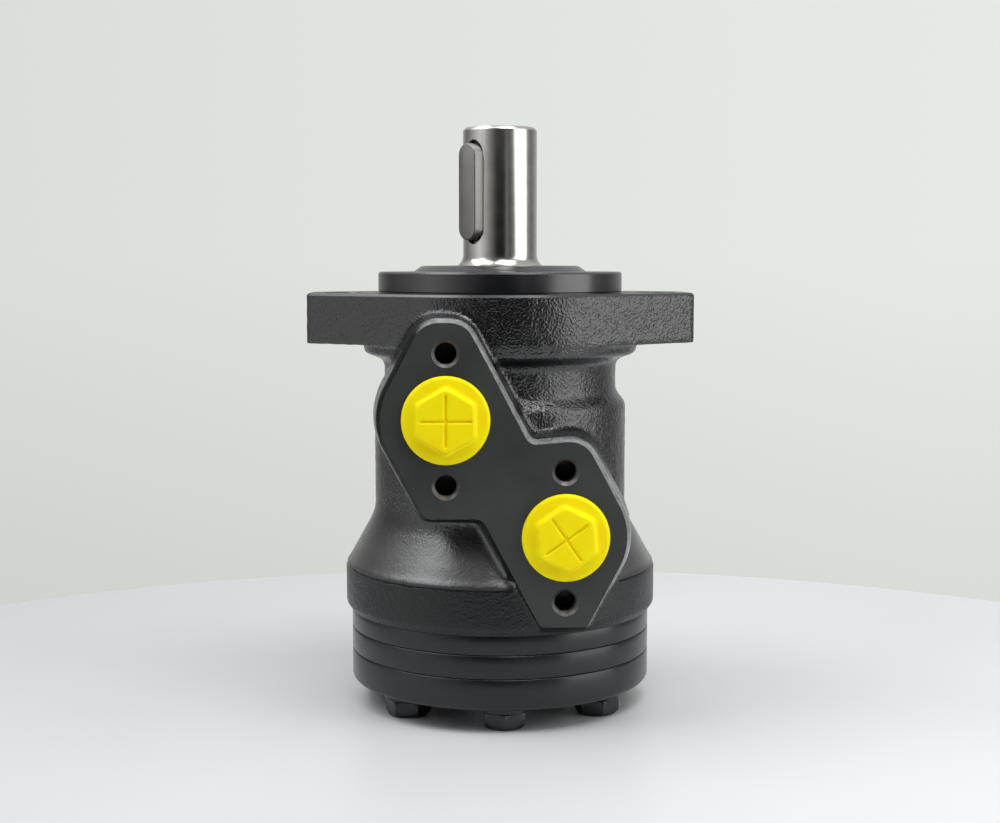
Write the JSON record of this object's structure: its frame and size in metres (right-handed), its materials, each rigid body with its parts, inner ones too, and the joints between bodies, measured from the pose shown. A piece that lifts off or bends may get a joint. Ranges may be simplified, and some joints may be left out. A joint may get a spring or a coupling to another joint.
{
  "type": "hydraulic motor",
  "caption": "Orbital hydraulic motor with an oval flange, keyed shaft, side ports on a slanted pad, and stacked rings closed by an end cover.",
  "frame": {"origin": "centre of the flange's mounting face, on the shaft axis", "axes": "+Z along the shaft, away from the body; -Y out of the port face; the two flange bolt holes lie along X"},
  "size_m": [0.13, 0.1112, 0.1942],
  "materials": {
    "painted_casting": "gloss black paint over a rough casting, smooth dark machined pad",
    "painted_ring": "satin black paint on turned steel",
    "ground_steel": "ground and polished",
    "bearing_steel": "ground",
    "key_steel": "dull drawn steel",
    "black_steel": "painted over with the motor, satin black",
    "seal_rubber": "matt black",
    "yellow_plastic": "soft moulded plastic, slight gloss"
  },
  "bodies": {
    "motor_housing": {"housing": "painted_casting", "dust_seal": "seal_rubber", "shaft_seal": "seal_rubber", "seal_backup_ring": "bearing_steel", "bearing_race": "bearing_steel", "distributor_plate": "painted_ring", "gear_ring": "painted_ring", "end_cover": "painted_ring", "end_screws": "black_steel", "screw_washers": "black_steel", "o_ring_housing": "seal_rubber", "o_ring_plate": "seal_rubber", "o_ring_cover": "seal_rubber", "check_seat_a": "bearing_steel", "check_seat_b": "bearing_steel", "check_spring_a": "bearing_steel", "check_spring_b": "bearing_steel", "drain_plug": "black_steel", "drain_washer": "bearing_steel"},
    "shaft": {"output_shaft": "ground_steel", "parallel_key": "key_steel"},
    "thrust_bearing_cage": {"needle_cage": "bearing_steel", "thrust_needles": "bearing_steel"},
    "orbit": {"cardan_spacer": "key_steel"},
    "cardan": {"cardan_shaft": "ground_steel"},
    "rotor": {"rotor": "ground_steel"},
    "roller_1": {"roller_1": "ground_steel"},
    "roller_2": {"roller_2": "ground_steel"},
    "roller_3": {"roller_3": "ground_steel"},
    "roller_4": {"roller_4": "ground_steel"},
    "roller_5": {"roller_5": "ground_steel"},
    "roller_6": {"roller_6": "ground_steel"},
    "roller_7": {"roller_7": "ground_steel"},
    "check_ball_a": {"check_ball_a": "bearing_steel"},
    "check_ball_b": {"check_ball_b": "bearing_steel"},
    "port_plug_a": {"port_plug_a": "yellow_plastic"},
    "port_plug_b": {"port_plug_b": "yellow_plastic"}
  },
  "joints": [
    {"name": "shaft_spin", "type": "hinge", "parent": "motor_housing", "child": "shaft", "pos_m": [0, 0, 0], "axis": [0, 0, 1], "continuous": true},
    {"name": "cage_spin", "type": "hinge", "parent": "motor_housing", "child": "thrust_bearing_cage", "pos_m": [0, 0, -0.0105], "axis": [0, 0, 1], "continuous": true},
    {"name": "rotor_orbit", "type": "hinge", "parent": "motor_housing", "child": "orbit", "pos_m": [0, 0, -0.117], "axis": [0, 0, 1], "continuous": true},
    {"name": "rotor_spin", "type": "hinge", "parent": "orbit", "child": "rotor", "pos_m": [0.00121, -0.00252, -0.117], "axis": [0, 0, 1], "continuous": true},
    {"name": "cardan_spin", "type": "hinge", "parent": "orbit", "child": "cardan", "pos_m": [0, 0, -0.052], "axis": [-0.0188, 0.039, 0.9991], "continuous": true},
    {"name": "roller_1_spin", "type": "hinge", "parent": "motor_housing", "child": "roller_1", "pos_m": [0.01493, -0.03099, -0.117], "axis": [0, 0, 1], "continuous": true},
    {"name": "roller_2_spin", "type": "hinge", "parent": "motor_housing", "child": "roller_2", "pos_m": [0.03354, -0.00765, -0.117], "axis": [0, 0, 1], "continuous": true},
    {"name": "roller_3_spin", "type": "hinge", "parent": "motor_housing", "child": "roller_3", "pos_m": [0.0269, 0.02145, -0.117], "axis": [0, 0, 1], "continuous": true},
    {"name": "roller_4_spin", "type": "hinge", "parent": "motor_housing", "child": "roller_4", "pos_m": [0, 0.0344, -0.117], "axis": [0, 0, 1], "continuous": true},
    {"name": "roller_5_spin", "type": "hinge", "parent": "motor_housing", "child": "roller_5", "pos_m": [-0.0269, 0.02145, -0.117], "axis": [0, 0, 1], "continuous": true},
    {"name": "roller_6_spin", "type": "hinge", "parent": "motor_housing", "child": "roller_6", "pos_m": [-0.03354, -0.00765, -0.117], "axis": [0, 0, 1], "continuous": true},
    {"name": "roller_7_spin", "type": "hinge", "parent": "motor_housing", "child": "roller_7", "pos_m": [-0.01493, -0.03099, -0.117], "axis": [0, 0, 1], "continuous": true},
    {"name": "check_ball_a_lift", "type": "slide", "parent": "motor_housing", "child": "check_ball_a", "axis": [0, 0, -1], "range_m": [0, 0.001], "stiffness_N_per_m": 200, "springref_m": -0.003, "deforming": ["check_spring_a"]},
    {"name": "check_ball_b_lift", "type": "slide", "parent": "motor_housing", "child": "check_ball_b", "axis": [0, 0, -1], "range_m": [0, 0.001], "stiffness_N_per_m": 200, "springref_m": -0.003, "deforming": ["check_spring_b"]},
    {"name": "port_plug_a_pull", "type": "slide", "parent": "motor_housing", "child": "port_plug_a", "axis": [0, -1, 0], "range_m": [0, 0.02]},
    {"name": "port_plug_b_pull", "type": "slide", "parent": "motor_housing", "child": "port_plug_b", "axis": [0, -1, 0], "range_m": [0, 0.02]}
  ],
  "couplings": [
    {"joint": "shaft_spin", "follows": "rotor_orbit", "ratio": -0.16667},
    {"joint": "cage_spin", "follows": "rotor_orbit", "ratio": -0.083333},
    {"joint": "rotor_spin", "follows": "rotor_orbit", "ratio": -1.1667},
    {"joint": "cardan_spin", "follows": "rotor_orbit", "ratio": -1.1667}
  ]
}
